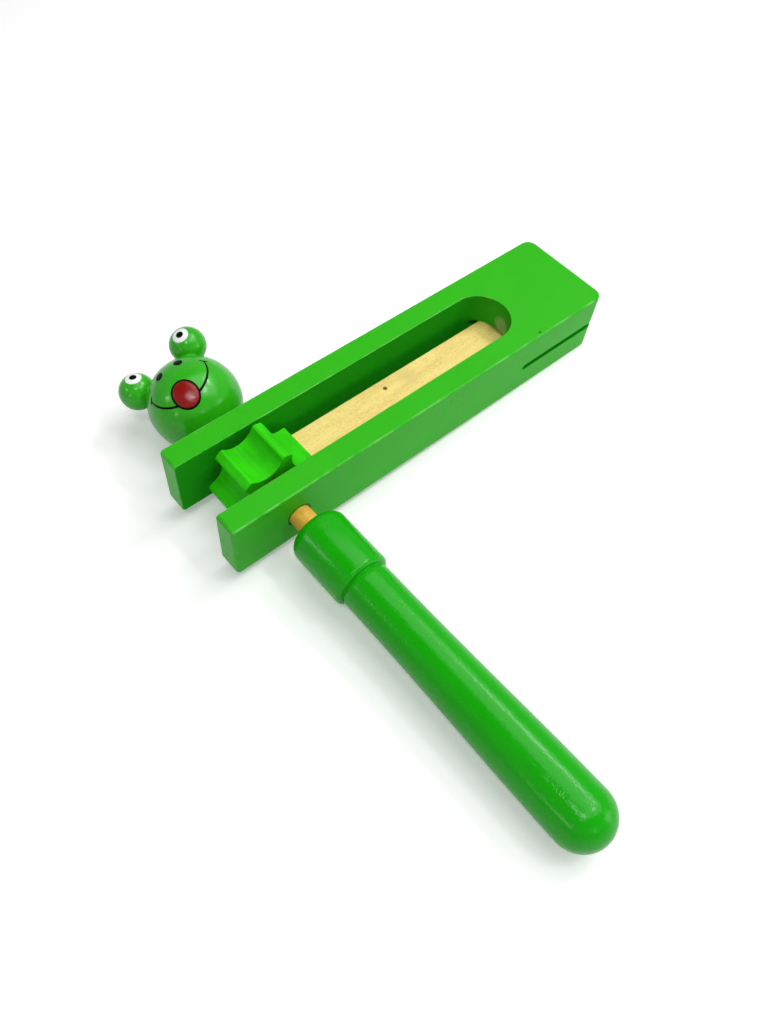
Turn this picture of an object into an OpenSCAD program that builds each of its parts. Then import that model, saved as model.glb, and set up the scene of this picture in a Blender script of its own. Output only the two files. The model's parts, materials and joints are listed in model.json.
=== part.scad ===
// Wooden ratchet rattle: a slotted frame whirls on a dowel, and a thin reed clicks over a lobed wheel.
// X runs along the frame to its tail, Y along the dowel to the frog's head, Z up.
// The origin is on the dowel's axis, at the middle of the handle's collar.

/* [Frame] */
// Length of the block
block_len = 129.4; // [110:0.1:150]
// Width of the block, along the dowel
block_w = 30; // [27:0.1:36]
// Height of the block
block_h = 18.6; // [15:0.1:24]
// Thickness of each prong beside the slot
prong_t = 6.5; // [5:0.1:8]
// From the dowel to the tips of the prongs
tip_reach = 19.2; // [15:0.1:24]
// From the dowel to the slot's round end
slot_reach = 83.7; // [70:0.1:90]
// How far the dowel lies below the block's middle
axle_drop = 0.6; // [0:0.1:2]
// Rounding of the tail's upright corners
tail_round = 3; // [1:0.1:5]

/* [Reed] */
// Thickness of the reed
reed_t = 1.8; // [1.4:0.1:2]
// Free space on each side of the reed in the slot
reed_side_gap = 3; // [2:0.1:4.5]
// Length of reed glued into the tail
reed_seat = 20; // [12:0.1:22]
// How far the reed's tip reaches inside the circle of the teeth
reed_bite = 1; // [0.6:0.1:1.1]
// How far the reed lies below the block's middle
reed_drop = 1; // [0:0.1:2]
// How far the saw cut for the reed runs into the prongs, past the slot's round end
kerf_lap = 4.4; // [2:0.1:8]

/* [Wheel] */
// Number of teeth
teeth = 6; // [5:1:8]
// Diameter over the teeth
wheel_d = 24.6; // [22:0.1:28]
// Depth of the valleys between the teeth
tooth_depth = 4; // [3:0.1:4.2]
// Width of a tooth at its top
tooth_top = 3.2; // [2.4:0.1:3.4]
// Rounding of a tooth's corners
tooth_round = 0.8; // [0.3:0.1:1]
// Free space on each side of the wheel in the slot
wheel_side_gap = 2.3; // [0.8:0.1:3.5]

/* [Dowel] */
// Diameter of the dowel
axle_d = 6; // [5:0.1:7]
// Length of dowel glued into the handle
handle_seat = 20; // [12:0.1:30]
// Length of dowel glued into the head, counted from its surface on the axis
head_seat = 12; // [8:0.1:14]

/* [Handle] */
// Whole length of the handle
handle_len = 95.5; // [80:0.1:120]
// Length of the collar
collar_len = 18.8; // [16:0.1:26]
// Diameter of the collar
collar_d = 15.4; // [15.3:0.1:18]
// Rounding of the collar's front edge
collar_front_round = 3; // [1:0.1:4]
// Rounding of the collar's back edge
collar_back_round = 1.2; // [0.4:0.1:2]
// Diameter of the grip just behind the collar
neck_d = 13.1; // [12:0.1:14]
// Largest diameter of the grip, near its end
belly_d = 15.2; // [14.2:0.1:15.3]
// Space between the handle and the frame
handle_gap = 5.5; // [1:0.1:8]

/* [Head] */
// Diameter of the head ball
head_d = 25; // [22:0.1:30]
// Space between the head and the frame
head_gap = 2.1; // [0.5:0.1:5]
// Turn of the face about the dowel, from straight up
face_turn = -22.6; // [-90:0.1:90]
// Diameter of each eye ball
eye_d = 10; // [8:0.1:12]
// Depth of the seat of each eye ball in the head
eye_sink = 0.6; // [0.3:0.1:1]
// Angle between the dowel's axis and each eye, sideways
eye_spread = 33; // [30:0.5:50]
// Angle by which the eyes lean towards the face
eye_lean = 6; // [0:0.5:20]
// Diameter of each eye's peg
peg_d = 2.5; // [2:0.1:3]
// Length of peg glued into the head, and into the eye
peg_seat = 4.5; // [3:0.1:5]

/* [Fits] */
// Running clearance of the dowel in the frame, on the radius
running_gap = 0.08; // [0.02:0.01:0.1]
// Glue line between pieces that don't move
glue_gap = 0.05; // [0.02:0.01:0.1]
// Free depth below a dowel or peg in its blind hole
hole_relief = 0.4; // [0.2:0.1:0.8]

/* [Hidden] */
$fn = 96;

// Overrun of a cut past the face that it goes through
over = 1;
// Overlap by which arcs that run on from one another cross
arc_lap = 0.002;

// Places along the dowel
collar_front_y = collar_len / 2;
frame_near_y = collar_front_y + handle_gap;
frame_mid_y = frame_near_y + block_w / 2;
frame_far_y = frame_near_y + block_w;
head_y = frame_far_y + head_gap + head_d / 2;
axle_start_y = collar_front_y - handle_seat;
axle_end_y = head_y - head_d / 2 + head_seat;

// The slot and what runs in it
slot_w = block_w - 2 * prong_t;
wheel_w = slot_w - 2 * wheel_side_gap;
reed_w = slot_w - 2 * reed_side_gap;
tail_x = block_len - tip_reach;
block_z = axle_drop;
reed_z = block_z - reed_drop;
kerf_t = reed_t + 2 * glue_gap;
kerf_x = slot_reach - kerf_lap;
reed_tip_x = wheel_d / 2 - reed_bite;
reed_end_x = slot_reach + reed_seat;

// The reed lies a quarter of a tooth's pitch below the tooth over it
pitch = 360 / teeth;
reed_angle = atan2(reed_z, reed_tip_x);
tooth_angle = reed_angle + pitch / 4;

// A valley is a circle through its lowest point and the corners of the two teeth beside it
root_r = wheel_d / 2 - tooth_depth;
valley_half = pitch / 2 - asin(tooth_top / wheel_d);
valley_x = (pow(wheel_d / 2, 2) - pow(root_r, 2)) / (wheel_d * cos(valley_half) - 2 * root_r);
valley_r = valley_x - root_r;

// A tooth's corner is an arc inside the wheel's circle and beside the valley's
corner_at = wheel_d / 2 - tooth_round;
corner_reach = valley_r + tooth_round;
corner_half = acos((pow(valley_x, 2) + pow(corner_at, 2) - pow(corner_reach, 2)) / (2 * valley_x * corner_at));
corner_p = corner_at * [cos(corner_half), sin(corner_half)];
corner_foot = [valley_x, 0] + (corner_p - [valley_x, 0]) * valley_r / corner_reach;

// The grip swells slowly behind the collar and faster towards its end
swell_bias = 1.2;
swell_steps = 14;
belly_at = handle_len - belly_d / 2;

// Eye places, from the head's middle
eye_at = head_d / 2 + eye_d / 2 - eye_sink;
seat_at = head_d / 2 - eye_sink;

paint_green = [0.17, 0.60, 0.10];
wheel_green = [0.22, 0.66, 0.08];
reed_wood = [0.93, 0.84, 0.55];
dowel_wood = [0.82, 0.60, 0.25];

function swell(t) = let (x = pow(t, swell_bias)) x * x * (3 - 2 * x);
function grip_r(t) = neck_d / 2 + (belly_d - neck_d) / 2 * swell(t);

// A cylinder along the dowel's axis, from one place to another
module along_axle(d, y_from, y_to) {
    translate([0, y_from, 0])
        rotate([-90, 0, 0])
            cylinder(d = d, h = y_to - y_from);
}

// Turns and moves an eye's own shape so that its +Z points away from the head's middle
module toward_eye(side) {
    translate([0, head_y, 0])
        rotate([0, face_turn, 0])
            rotate([0, 0, -side * eye_spread])
                rotate([eye_lean - 90, 0, 0])
                    children();
}

// Outline of the block from above, with the tail's two corners rounded
module block_outline() {
    translate([-tip_reach, -block_w / 2])
        square([block_len - tail_round, block_w]);
    translate([tail_x - 2 * tail_round, tail_round - block_w / 2])
        square([2 * tail_round, block_w - 2 * tail_round]);
    for (side = [-1, 1])
        translate([tail_x - tail_round, side * (block_w / 2 - tail_round)])
            circle(r = tail_round);
}

// Outline of the slot from above, open at the prongs' tips and round at the tail
module slot_outline() {
    translate([-tip_reach - over, -slot_w / 2])
        square([tip_reach + over + slot_reach - slot_w / 2, slot_w]);
    translate([slot_reach - slot_w / 2, 0])
        circle(d = slot_w);
}

// Saw cut for the reed, through the whole width, from the tail to its round front end
module kerf() {
    translate([kerf_x + kerf_t / 2, frame_near_y - over, reed_z - kerf_t / 2])
        cube([tail_x - kerf_x + over, block_w + 2 * over, kerf_t]);
    translate([kerf_x + kerf_t / 2, 0, reed_z])
        along_axle(kerf_t, frame_near_y - over, frame_far_y + over);
}

module frame_block() {
    color(paint_green)
        difference() {
            translate([0, frame_mid_y, block_z - block_h / 2])
                linear_extrude(height = block_h)
                    difference() {
                        block_outline();
                        slot_outline();
                    }
            kerf();
            along_axle(axle_d + 2 * running_gap, frame_near_y - over, frame_far_y + over);
        }
}

module reed() {
    color(reed_wood)
        translate([reed_tip_x, frame_mid_y - reed_w / 2, reed_z - reed_t / 2])
            cube([reed_end_x - reed_tip_x, reed_w, reed_t]);
}

// What rounds the corner of the tooth on one side of a valley that lies along +X
module corner_cut() {
    difference() {
        polygon([
            corner_p,
            (wheel_d / 2 + over) * [cos(corner_half), sin(corner_half)],
            (wheel_d / 2 + over) * [cos(valley_half), sin(valley_half)],
            corner_foot
        ]);
        translate(corner_p)
            circle(r = tooth_round + arc_lap);
    }
}

// Outline of the wheel: a disc with one round valley between each two teeth
module wheel_outline() {
    difference() {
        circle(d = wheel_d);
        for (k = [0 : teeth - 1])
            rotate(tooth_angle + (k + 0.5) * pitch) {
                translate([valley_x, 0])
                    circle(r = valley_r);
                corner_cut();
                mirror([0, 1])
                    corner_cut();
            }
    }
}

module ratchet_wheel() {
    color(wheel_green)
        difference() {
            translate([0, frame_mid_y + wheel_w / 2, 0])
                rotate([90, 0, 0])
                    linear_extrude(height = wheel_w)
                        wheel_outline();
            along_axle(axle_d + 2 * glue_gap, frame_near_y, frame_far_y);
        }
}

module axle() {
    color(dowel_wood)
        along_axle(axle_d, axle_start_y, axle_end_y);
}

// Half outline of the collar: radius across, distance behind its front face upwards
module collar_outline() {
    square([collar_d / 2 - collar_front_round, collar_len - collar_back_round]);
    translate([0, collar_front_round])
        square([collar_d / 2, collar_len - collar_front_round - collar_back_round]);
    translate([0, collar_len - 2 * collar_back_round])
        square([collar_d / 2 - collar_back_round, 2 * collar_back_round]);
    translate([collar_d / 2 - collar_front_round, collar_front_round])
        circle(r = collar_front_round);
    translate([collar_d / 2 - collar_back_round, collar_len - collar_back_round])
        circle(r = collar_back_round);
}

// Half outline of the grip, from inside the collar to the middle of its round end
module grip_outline() {
    polygon([
        [0, collar_front_round],
        [neck_d / 2, collar_front_round],
        for (k = [0 : swell_steps])
            let (t = k / swell_steps)
            [grip_r(t), collar_len + t * (belly_at - collar_len)],
        [0, belly_at]
    ]);
}

module handle() {
    color(paint_green)
        difference() {
            translate([0, collar_front_y, 0])
                rotate([90, 0, 0]) {
                    rotate_extrude()
                        collar_outline();
                    rotate_extrude()
                        grip_outline();
                    translate([0, 0, belly_at])
                        sphere(d = belly_d);
                }
            along_axle(axle_d + 2 * glue_gap, axle_start_y - hole_relief, collar_front_y + over);
        }
}

module head() {
    color(paint_green)
        difference() {
            translate([0, head_y, 0])
                sphere(d = head_d);
            along_axle(axle_d + 2 * glue_gap, frame_far_y, axle_end_y + hole_relief);
            for (side = [-1, 1])
                toward_eye(side) {
                    translate([0, 0, eye_at])
                        sphere(d = eye_d + 2 * glue_gap);
                    translate([0, 0, seat_at - peg_seat - hole_relief])
                        cylinder(d = peg_d + 2 * glue_gap, h = peg_seat + hole_relief + eye_sink);
                }
        }
}

module eye(side) {
    color(paint_green)
        toward_eye(side)
            difference() {
                translate([0, 0, eye_at])
                    sphere(d = eye_d);
                translate([0, 0, seat_at - over])
                    cylinder(d = peg_d + 2 * glue_gap, h = over + peg_seat + hole_relief);
            }
}

module eye_peg(side) {
    color(dowel_wood)
        toward_eye(side)
            translate([0, 0, seat_at - peg_seat])
                cylinder(d = peg_d, h = 2 * peg_seat);
}

module eye_left() {
    eye(1);
}

module eye_right() {
    eye(-1);
}

module eye_peg_left() {
    eye_peg(1);
}

module eye_peg_right() {
    eye_peg(-1);
}

frame_block();
reed();
ratchet_wheel();
axle();
handle();
head();
eye_left();
eye_right();
eye_peg_left();
eye_peg_right();
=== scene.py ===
import json
import math

import bmesh
import bpy
from bpy.props import FloatProperty, FloatVectorProperty, IntProperty, PointerProperty
from bpy.types import Operator, Panel, PropertyGroup
from mathutils import Matrix, Vector
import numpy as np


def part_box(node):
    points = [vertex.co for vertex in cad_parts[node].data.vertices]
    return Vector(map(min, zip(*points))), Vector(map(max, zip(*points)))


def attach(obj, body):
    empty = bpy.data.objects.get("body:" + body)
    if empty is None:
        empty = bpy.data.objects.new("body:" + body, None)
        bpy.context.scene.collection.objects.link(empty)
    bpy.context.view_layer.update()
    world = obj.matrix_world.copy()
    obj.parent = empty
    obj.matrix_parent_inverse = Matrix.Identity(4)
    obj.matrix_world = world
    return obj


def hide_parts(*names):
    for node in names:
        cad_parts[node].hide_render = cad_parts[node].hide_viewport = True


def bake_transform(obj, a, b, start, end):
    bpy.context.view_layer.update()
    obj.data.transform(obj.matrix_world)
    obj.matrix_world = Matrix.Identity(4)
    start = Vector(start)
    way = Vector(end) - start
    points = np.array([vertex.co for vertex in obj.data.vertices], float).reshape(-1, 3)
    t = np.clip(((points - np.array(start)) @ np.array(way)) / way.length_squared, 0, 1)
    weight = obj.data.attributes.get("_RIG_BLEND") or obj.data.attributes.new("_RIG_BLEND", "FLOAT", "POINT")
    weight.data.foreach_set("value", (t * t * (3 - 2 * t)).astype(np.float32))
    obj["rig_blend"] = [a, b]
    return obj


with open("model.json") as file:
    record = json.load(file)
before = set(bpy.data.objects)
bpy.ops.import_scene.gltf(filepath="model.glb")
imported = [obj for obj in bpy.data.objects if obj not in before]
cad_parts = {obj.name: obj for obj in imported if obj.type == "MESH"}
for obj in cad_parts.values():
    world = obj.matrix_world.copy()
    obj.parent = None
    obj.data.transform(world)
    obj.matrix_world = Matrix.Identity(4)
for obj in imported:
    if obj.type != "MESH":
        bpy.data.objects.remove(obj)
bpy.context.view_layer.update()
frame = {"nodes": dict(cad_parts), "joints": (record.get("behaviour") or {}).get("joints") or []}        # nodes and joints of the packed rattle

bl_info = {
    "name": "Ratchet rattle",
    "version": (1, 0, 0),
    "blender": (4, 5, 0),
    "location": "View3D > Sidebar > Rattle",
    "description": "Dresses a wooden ratchet rattle with a frog's head in paint and bare wood",
    "category": "Add Mesh",
}

MM = 0.001

# Boxes and places that the packed rattle gives, in metres: X to the tail, Y to the head, Z up
BLOCK_LOW, BLOCK_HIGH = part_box("frame_block")
REED_LOW, REED_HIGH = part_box("reed")
WHEEL_LOW, WHEEL_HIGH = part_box("ratchet_wheel")
AXLE_LOW, AXLE_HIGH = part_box("axle")
HANDLE_LOW, HANDLE_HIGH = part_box("handle")
_, HEAD_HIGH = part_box("head")
REED_PIVOT = next(Vector(joint["pos_m"]) for joint in frame["joints"] if joint["name"] == "reed_flex")

BLOCK_MIDDLE = (BLOCK_LOW + BLOCK_HIGH) / 2
REED_MIDDLE = (REED_LOW + REED_HIGH) / 2
AXLE_R = AXLE_HIGH.x
COLLAR_R = HANDLE_HIGH.x
HEAD_R = HEAD_HIGH.x
HEAD_MIDDLE = Vector((0, HEAD_HIGH.y - HEAD_R, 0))
EYE_BOXES = {side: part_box("eye_" + side) for side in ("left", "right")}
EYE_MIDDLES = {side: (low + high) / 2 for side, (low, high) in EYE_BOXES.items()}
EYE_R = (EYE_BOXES["left"][1].y - EYE_BOXES["left"][0].y) / 2

X_AXIS = Vector((1, 0, 0))
Y_AXIS = Vector((0, 1, 0))
Z_AXIS = Vector((0, 0, 1))
FULL_TURN = 2 * math.pi
QUARTER_TURN = math.pi / 2
# Vertices closer than this are one
WELD = 0.001 * MM
# An edge whose faces meet at more than this counts as sharp
SHARP = math.radians(55)
# Share of a face's normal along an axis, under which it counts as a wall of the cut, slot or hole
CUT_WALL = 0.3
SLOT_WALL = 0.5
HOLE_WALL = 0.8
# Share of a face's normal along X, over which it counts as a prong's end
PRONG_END = 0.9

# Mean of a noise pattern
NOISE_MEAN = 0.5
# What saw marks and painted shade in the recesses leave of the paint's red, green and blue
SAWN_SHADE_TONE = (0.1, 0.7, 0.2)
WHITE = (1, 1, 1, 1)
# How much of the white surroundings a mirroring surface sees
MIRRORED = 0.5
# Length of the camera's sensor in millimetres, and the nearest distance that it shows in metres
SENSOR = 36
NEAREST = 0.01
# Each lamp's way from the rattle, its width and height in metres, and its watts
LAMPS = {
    "key_lamp": ((0.36, -0.06, 0.93), 0.95, 0.95, 6.6),
    "strip_lamp": ((0.58, 0.04, 0.81), 0.26, 0.025, 1.1),
    "bend_lamp": ((0.33, -0.28, 0.90), 0.2, 0.04, 0.8),
    "front_lamp": ((-0.33, -0.22, 0.92), 0.2, 0.09, 1.5),
    "left_lamp": ((-0.78, 0.43, 0.45), 0.1, 0.1, 0.4),
    "low_left_lamp": ((-0.95, -0.12, 0.28), 0.08, 0.08, 0.25),
    "low_front_lamp": ((-0.21, -0.88, 0.43), 0.16, 0.08, 0.2),
    "low_right_lamp": ((0.60, -0.75, 0.28), 0.3, 0.3, 0.8),
}


# Settings

def length(name, millimetres, description):
    return FloatProperty(
        name=name, description=description, default=millimetres * MM,
        unit="LENGTH", subtype="DISTANCE", precision=5,
    )


def angle(name, degrees, description):
    return FloatProperty(
        name=name, description=description, default=math.radians(degrees),
        unit="ROTATION", subtype="ANGLE",
    )


def colour(name, red, green, blue, description):
    return FloatVectorProperty(
        name=name, description=description, default=(red, green, blue),
        size=3, min=0, max=1, subtype="COLOR",
    )


def factor(name, value, description):
    return FloatProperty(
        name=name, description=description, default=value, min=0, max=1, subtype="FACTOR",
    )


def position(name, x, y, z, description):
    return FloatVectorProperty(
        name=name, description=description, default=(x * MM, y * MM, z * MM),
        size=3, subtype="XYZ", unit="LENGTH",
    )


# What makes up a coat of paint, beside its colour
COATING = {
    "Mottle": (factor, "How far the paint's tone wanders"),
    "Sheen": (factor, "Roughness of the paint's film"),
    "Relief": (length, "Depth of the small lumps in the paint's film"),
    "Shine": (factor, "Mirror strength of the paint's film"),
}


def coating(name, value):
    """A setting that every coat of paint has"""
    kind, description = COATING[name]
    return kind(name, value, description)


class FrameSettings(PropertyGroup):
    """The slotted frame block"""
    prong_t: length("Prong", 6.5, "Thickness of each prong beside the slot")
    tail_round: length("Tail round", 3, "Rounding of the tail's upright corners")
    edge_round: length("Edge round", 0.4, "Rounding of the block's long edges")
    tip_round: length("Tip round", 1, "Rounding of the edges round the prongs' tips")
    slot_edge_round: length("Slot edge round", 0.2, "Rounding of the slot's rim")
    cut_edge_round: length("Cut edge round", 0.14, "Rounding of the saw cut's rim")
    cut_lap: length("Cut lap", 4.4, "How far the saw cut runs past the slot's round end")
    cut_gap: length("Cut gap", 0.05, "Glue line on each side of the reed")
    hole_gap: length("Hole gap", 0.08, "Running clearance of the dowel, on the radius")
    hole_rim: length("Hole rim", 0.45, "Chamfer where the dowel's holes come out")
    nick_past: length("Nick past", 0.7, "How far the small nick lies past the slot's end")
    nick_in: length("Nick in", 1.1, "How far the small nick lies in from the near side")
    nick_r: length("Nick radius", 0.45, "Radius of the small nick")
    nick_rim: length("Nick rim", 0.2, "Width of the small nick's soft rim")
    # The smear is a painted reflection of the pale reed on the slot's end wall
    smear_side: length("Smear side", -1.6, "How far the glue smear lies beside the slot's middle")
    smear_rise: length("Smear rise", 3.2, "How far the glue smear lies above the reed's root")
    smear_r: length("Smear radius", 3.4, "Radius of the glue smear")
    smear_rim: length("Smear rim", 1.6, "Width of the glue smear's soft rim")
    # Painted shade in the gap round the dowel's holes
    grime_w: length("Grime width", 0.8, "Width of the grime round the dowel's holes")
    grime_rim: length("Grime rim", 0.6, "Width of the grime's soft rim")
    # The tips' edges get paler edge paint: thinner paint there, and a painted highlight
    tip_wear: factor("Tip wear", 0.3, "Wear of the paint on the edges round the prongs' tips")
    end_wear: factor("End wear", 0.25, "Wear of the paint on the end grain of the prongs' tips")
    # Along the slot's walls the paint is dulled, and darkened by painted shade
    slot_marks: factor("Slot marks", 0.8, "Strength of the saw marks along the slot's walls")
    paint: colour("Paint", 0.034, 0.465, 0.011, "Satin green paint")
    # Edge paint: thinner paint on the edges, and a painted highlight along them
    edge_paint: colour("Edge paint", 0.14, 0.58, 0.10, "Thinner, paler paint on the edges")
    mottle: coating("Mottle", 0.12)
    sheen: coating("Sheen", 0.3)
    relief: coating("Relief", 0.012)
    shine: coating("Shine", 0.08)
    # The nick's dark bottom is painted shade that stands in for the dent
    nick: colour("Nick", 0.01, 0.06, 0.008, "Bottom of the small nick in the top's edge")
    # Painted reflection of the reed on the slot's end wall
    glue: colour("Glue", 0.30, 0.52, 0.17, "Smear of dried glue over the reed's root")
    # Painted shade in the gap round the dowel's holes
    grime: colour("Grime", 0.004, 0.07, 0.003, "Rubbed, dark paint round the dowel's holes")


class WheelSettings(PropertyGroup):
    """The lobed ratchet wheel"""
    teeth: IntProperty(name="Teeth", description="Number of teeth", default=6, min=3)
    radius: length("Radius", 12.3, "Radius over the teeth")
    tooth_depth: length("Tooth depth", 4, "Depth of the valleys between the teeth")
    tooth_top: length("Tooth top", 3.2, "Width of a tooth at its top")
    tooth_round: length("Tooth round", 0.8, "Rounding of a tooth's corners")
    edge_round: length("Edge round", 0.3, "Rounding of the edges of both end faces")
    paint: colour("Paint", 0.030, 0.61, 0.003, "Satin yellowish green paint")
    # Edge paint: thinner paint on the edges, and a painted highlight along them
    edge_paint: colour("Edge paint", 0.10, 0.66, 0.04, "Thinner, paler paint on the edges")
    mottle: coating("Mottle", 0.8)
    sheen: coating("Sheen", 0.45)
    relief: coating("Relief", 0.05)
    shine: coating("Shine", 0.1)


class ReedSettings(PropertyGroup):
    """The wooden reed"""
    edge_round: length("Edge round", 0.25, "Rounding of the slat's edges")
    bend_from: length("Bend from", 0, "Distance of the bend's start from the slot's end")
    bend_over: length("Bend over", 55, "Length over which the reed bends")
    knot_along: length("Knot along", 43, "Place of the small knot along the reed")
    knot_across: length("Knot across", 32.5, "Place of the small knot across the reed")
    knot_r: length("Knot radius", 0.75, "Radius of the small knot")
    knot_rim: length("Knot rim", 0.25, "Width of the small knot's soft rim")
    smudge_along: length("Smudge along", 51, "Place of the dull smudge along the reed")
    smudge_across: length("Smudge across", 32, "Place of the dull smudge across the reed")
    smudge_r: length("Smudge radius", 4.5, "Radius of the dull smudge")
    # The reed's dark root is a glue stain and painted shade where it goes into the block
    root_rim: length("Root rim", 1.6, "Width of the stain where the reed goes into the block")
    pale: colour("Pale wood", 0.98, 0.775, 0.265, "Pale wood between the fibres")
    dark: colour("Dark wood", 0.73, 0.49, 0.11, "Darker wood of the fibres")
    knot: colour("Knot", 0.14, 0.06, 0.002, "Wood of the small knot")
    smudge: colour("Smudge", 0.76, 0.58, 0.19, "Dull smudge beside the knot")
    # Glue stain and painted shade where the reed goes into the block
    root: colour("Root", 0.30, 0.20, 0.02, "Stain of glue where the reed goes into the block")


class DowelSettings(PropertyGroup):
    """The axle dowel and the pegs of the eyes"""
    end_round: length("End round", 0.4, "Rounding of the dowel's ends")
    pale: colour("Pale wood", 0.86, 0.54, 0.07, "Pale wood between the fibres")
    dark: colour("Dark wood", 0.56, 0.23, 0.01, "Darker wood of the fibres")


class HandleSettings(PropertyGroup):
    """The turned handle"""
    collar_front_round: length("Collar front round", 3, "Rounding of the collar's front edge")
    collar_back_round: length("Collar back round", 1.2, "Rounding of the collar's back edge")
    neck_r: length("Neck radius", 6.55, "Radius of the grip just behind the collar")
    belly_r: length("Belly radius", 7.6, "Largest radius of the grip, near its end")
    swell_bias: FloatProperty(
        name="Swell bias", description="Above 1, the grip swells later", default=1.2, min=0.5, max=3,
    )
    groove: length("Groove", 0.22, "Depth of the turned groove behind the collar")
    hole_gap: length("Hole gap", 0.05, "Glue line round the dowel")
    hole_relief: length("Hole relief", 0.4, "Free depth below the dowel in its blind hole")
    hole_rim: length("Hole rim", 0.3, "Chamfer round the mouth of the dowel's hole")
    paint: colour("Paint", 0.006, 0.395, 0.001, "Gloss green paint")
    # Edge paint: thinner paint on the edges, and a painted highlight along them
    edge_paint: colour("Edge paint", 0.05, 0.55, 0.03, "Thinner, paler paint on the edges")
    mottle: coating("Mottle", 0.14)
    sheen: coating("Sheen", 0.16)
    relief: coating("Relief", 0.055)
    shine: coating("Shine", 0.23)


class HeadSettings(PropertyGroup):
    """The frog's head ball and its eye balls"""
    eye_fillet: length("Eye fillet", 0.5, "Paint run between each eye and the head")
    fillet_sink: length("Fillet sink", 0.02, "How far the paint run dips into the head")
    eye_foot: length("Eye foot", 1, "How far the eye's own mesh reaches into the head")
    paint: colour("Paint", 0.026, 0.44, 0.006, "Gloss green paint")
    edge_paint: colour("Edge paint", 0.06, 0.48, 0.04, "Thinner, paler paint round the hole")
    mottle: coating("Mottle", 0.24)
    sheen: coating("Sheen", 0.17)
    relief: coating("Relief", 0.04)
    shine: coating("Shine", 0.36)


class FaceSettings(PropertyGroup):
    """The painted face; sides run to the frog's left, rises to the eyes"""
    turn: angle("Turn", 3.5, "Turn of the painted face from the middle between the eyes")
    roll: angle("Roll", -4, "Tilt of the painted face")
    film: length("Film", 0.035, "How far each coat of paint stands proud")
    root: length("Root", 0.05, "How far the paint's own mesh reaches into the ball")
    nostril_side: angle("Nostril side", 15.4, "Place of the nostrils to each side")
    nostril_rise: angle("Nostril rise", 26, "Height of the nostrils")
    nostril_half_w: length("Nostril half width", 1.15, "Half width of a nostril")
    nostril_half_h: length("Nostril half height", 1.5, "Half height of a nostril")
    tongue_side: angle("Tongue side", -2, "Place of the tongue to the side")
    tongue_rise: angle("Tongue rise", -20.5, "Height of the tongue")
    tongue_half_w: length("Tongue half width", 3.67, "Half width of the tongue with its outline")
    tongue_half_h: length("Tongue half height", 4.14, "Half height of the tongue with its outline")
    outline: length("Outline", 0.5, "Width of the tongue's outline")
    smile_r: angle("Smile radius", 43, "Radius of the smile's arc, seen from the ball's middle")
    smile_rise: angle("Smile rise", 14, "Height of the middle of the smile's arc")
    smile_from: angle("Smile start", 19, "Where the smile leaves the tongue, from straight down")
    smile_to: angle("Smile end", 86, "Where the smile ends, from straight down")
    smile_w: length("Smile width", 0.62, "Width of the smile's line at its widest")
    smile_taper: factor("Smile taper", 0.45, "How much thinner the smile's line ends than it starts")
    tick_half: angle("Tick half", 5.5, "Half length of the tick at each end of the smile")
    tick_slope: angle("Tick slope", 30, "Slope of the ticks, outwards and down")
    tick_w: length("Tick width", 0.42, "Width of the ticks")
    tick_end: factor("Tick end", 0.35, "Width of the ticks at their ends, as a share")
    white_r: length("White radius", 2.32, "Radius of the eyes' whites along the ball")
    pupil_r: length("Pupil radius", 0.98, "Radius of the pupils along the ball")
    gaze_left_side: angle("Left gaze side", 2.5, "Where the frog's left eye looks, sideways")
    gaze_left_rise: angle("Left gaze rise", 5, "Where the frog's left eye looks, upwards")
    gaze_right_side: angle("Right gaze side", 22, "Where the frog's right eye looks, sideways")
    gaze_right_rise: angle("Right gaze rise", 12, "Where the frog's right eye looks, upwards")


class WhiteSettings(PropertyGroup):
    """The white of the eyes"""
    paint: colour("Paint", 0.94, 0.94, 0.93, "Gloss white paint")
    mottle: coating("Mottle", 0.1)
    sheen: coating("Sheen", 0.2)
    relief: coating("Relief", 0.045)
    shine: coating("Shine", 0.25)


class BlackSettings(PropertyGroup):
    """The black of the lines, nostrils and pupils"""
    paint: colour("Paint", 0.004, 0.005, 0.004, "Gloss black paint")
    mottle: coating("Mottle", 0.1)
    sheen: coating("Sheen", 0.2)
    relief: coating("Relief", 0.045)
    shine: coating("Shine", 0.03)


class RedSettings(PropertyGroup):
    """The red of the tongue"""
    paint: colour("Paint", 0.265, 0.003, 0.0005, "Gloss red paint")
    mottle: coating("Mottle", 0.1)
    sheen: coating("Sheen", 0.22)
    relief: coating("Relief", 0.045)
    shine: coating("Shine", 0.42)


class StageSettings(PropertyGroup):
    """The camera, the lamps and the floor"""
    camera_at: position("Camera", -68.79, -77.23, 178.58, "Where the camera stands")
    camera_aim: position("Aim", 16.73, 2.55, 0, "Point that the camera and the lamps look at")
    camera_roll: angle("Roll", -7.24, "Roll of the camera about its own axis")
    lens: FloatProperty(
        name="Lens", description="Focal length for a sensor 36 mm long", default=30.31,
        subtype="DISTANCE_CAMERA",
    )
    lamp_away: length("Lamp distance", 900, "From the rattle to each lamp")
    floor_size: length("Floor size", 3000, "Size of the floor")
    floor_gap: length("Floor gap", 0.1, "How far the floor lies below the rattle")
    floor: colour("Floor", 0.86, 0.86, 0.86, "Pale floor")
    floor_sheen: factor("Floor sheen", 0.6, "Roughness of the floor")
    floor_shine: factor("Floor shine", 0.2, "Mirror strength of the floor")
    floor_glow: factor("Floor glow", 0.26, "How far the floor that the eye sees is lifted to white")
    world_light: factor("Surroundings", 0.09, "Strength of the light from all round")


# Mesh building

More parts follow.
